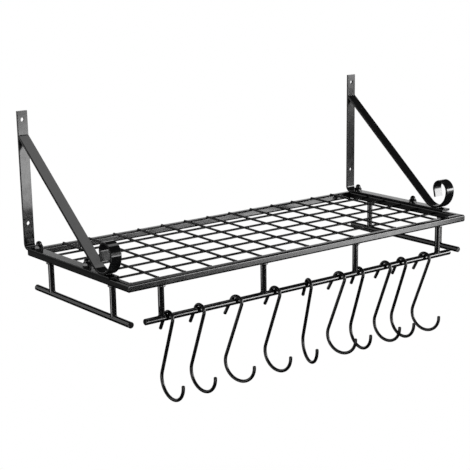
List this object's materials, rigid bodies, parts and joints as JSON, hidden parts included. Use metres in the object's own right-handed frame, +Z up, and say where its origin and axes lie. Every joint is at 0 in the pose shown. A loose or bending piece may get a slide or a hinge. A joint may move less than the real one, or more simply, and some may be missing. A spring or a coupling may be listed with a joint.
{
  "type": "wall-mounted pot rack",
  "caption": "Black steel wall shelf with a wire grid floor on two scrolled brackets, with hook rods below and S-hooks that swing on the front rod.",
  "frame": {"origin": "middle of the four wall screw holes, on the wall plane", "axes": "+X to the right seen from the front, +Y into the wall, +Z up"},
  "size_m": [0.751, 0.3384, 0.4363],
  "materials": {
    "frame_coat": "semi-gloss black powder coat",
    "wire_coat": "semi-gloss black powder coat",
    "bracket_coat": "satin black powder coat with a light texture",
    "fastener_coat": "black oxide, semi-gloss",
    "hook_coat": "semi-gloss black powder coat"
  },
  "bodies": {
    "rack": {"front_rail": "frame_coat", "back_rail": "frame_coat", "left_rail": "frame_coat", "right_rail": "frame_coat", "cross_wire_01": "wire_coat", "cross_wire_02": "wire_coat", "cross_wire_03": "wire_coat", "cross_wire_04": "wire_coat", "cross_wire_05": "wire_coat", "cross_wire_06": "wire_coat", "cross_wire_07": "wire_coat", "cross_wire_08": "wire_coat", "cross_wire_09": "wire_coat", "cross_wire_10": "wire_coat", "cross_wire_11": "wire_coat", "cross_wire_12": "wire_coat", "cross_wire_13": "wire_coat", "long_wire_1": "wire_coat", "long_wire_2": "wire_coat", "long_wire_3": "wire_coat", "long_wire_4": "wire_coat", "long_wire_5": "wire_coat", "front_rod": "frame_coat", "left_rod": "frame_coat", "right_rod": "frame_coat", "front_post_1": "frame_coat", "front_post_2": "frame_coat", "front_post_3": "frame_coat", "front_post_4": "frame_coat", "left_rear_post": "frame_coat", "left_front_post": "frame_coat", "right_rear_post": "frame_coat", "right_front_post": "frame_coat", "left_wall_strap": "bracket_coat", "right_wall_strap": "bracket_coat", "left_brace": "bracket_coat", "right_brace": "bracket_coat", "studs": "fastener_coat", "washers": "fastener_coat", "cap_nuts": "fastener_coat"},
    "hook_01": {"s_hook_01": "hook_coat"},
    "hook_02": {"s_hook_02": "hook_coat"},
    "hook_03": {"s_hook_03": "hook_coat"},
    "hook_04": {"s_hook_04": "hook_coat"},
    "hook_05": {"s_hook_05": "hook_coat"},
    "hook_06": {"s_hook_06": "hook_coat"},
    "hook_07": {"s_hook_07": "hook_coat"},
    "hook_08": {"s_hook_08": "hook_coat"},
    "hook_09": {"s_hook_09": "hook_coat"},
    "hook_10": {"s_hook_10": "hook_coat"}
  },
  "joints": [
    {"name": "hook_swing_01", "type": "hinge", "parent": "rack", "child": "hook_01", "pos_m": [-0.2933, -0.301, -0.197], "axis": [1, 0, 0], "range_deg": [-70, 70]},
    {"name": "hook_swing_02", "type": "hinge", "parent": "rack", "child": "hook_02", "pos_m": [-0.2336, -0.301, -0.197], "axis": [1, 0, 0], "range_deg": [-70, 70]},
    {"name": "hook_swing_03", "type": "hinge", "parent": "rack", "child": "hook_03", "pos_m": [-0.1603, -0.301, -0.197], "axis": [1, 0, 0], "range_deg": [-70, 70]},
    {"name": "hook_swing_04", "type": "hinge", "parent": "rack", "child": "hook_04", "pos_m": [-0.079, -0.301, -0.197], "axis": [1, 0, 0], "range_deg": [-70, 70]},
    {"name": "hook_swing_05", "type": "hinge", "parent": "rack", "child": "hook_05", "pos_m": [-0.0052, -0.301, -0.197], "axis": [1, 0, 0], "range_deg": [-70, 70]},
    {"name": "hook_swing_06", "type": "hinge", "parent": "rack", "child": "hook_06", "pos_m": [0.064, -0.301, -0.197], "axis": [1, 0, 0], "range_deg": [-70, 70]},
    {"name": "hook_swing_07", "type": "hinge", "parent": "rack", "child": "hook_07", "pos_m": [0.1112, -0.301, -0.197], "axis": [1, 0, 0], "range_deg": [-70, 70]},
    {"name": "hook_swing_08", "type": "hinge", "parent": "rack", "child": "hook_08", "pos_m": [0.1739, -0.301, -0.197], "axis": [1, 0, 0], "range_deg": [-70, 70]},
    {"name": "hook_swing_09", "type": "hinge", "parent": "rack", "child": "hook_09", "pos_m": [0.2138, -0.301, -0.197], "axis": [1, 0, 0], "range_deg": [-70, 70]},
    {"name": "hook_swing_10", "type": "hinge", "parent": "rack", "child": "hook_10", "pos_m": [0.2711, -0.301, -0.197], "axis": [1, 0, 0], "range_deg": [-70, 70]}
  ]
}
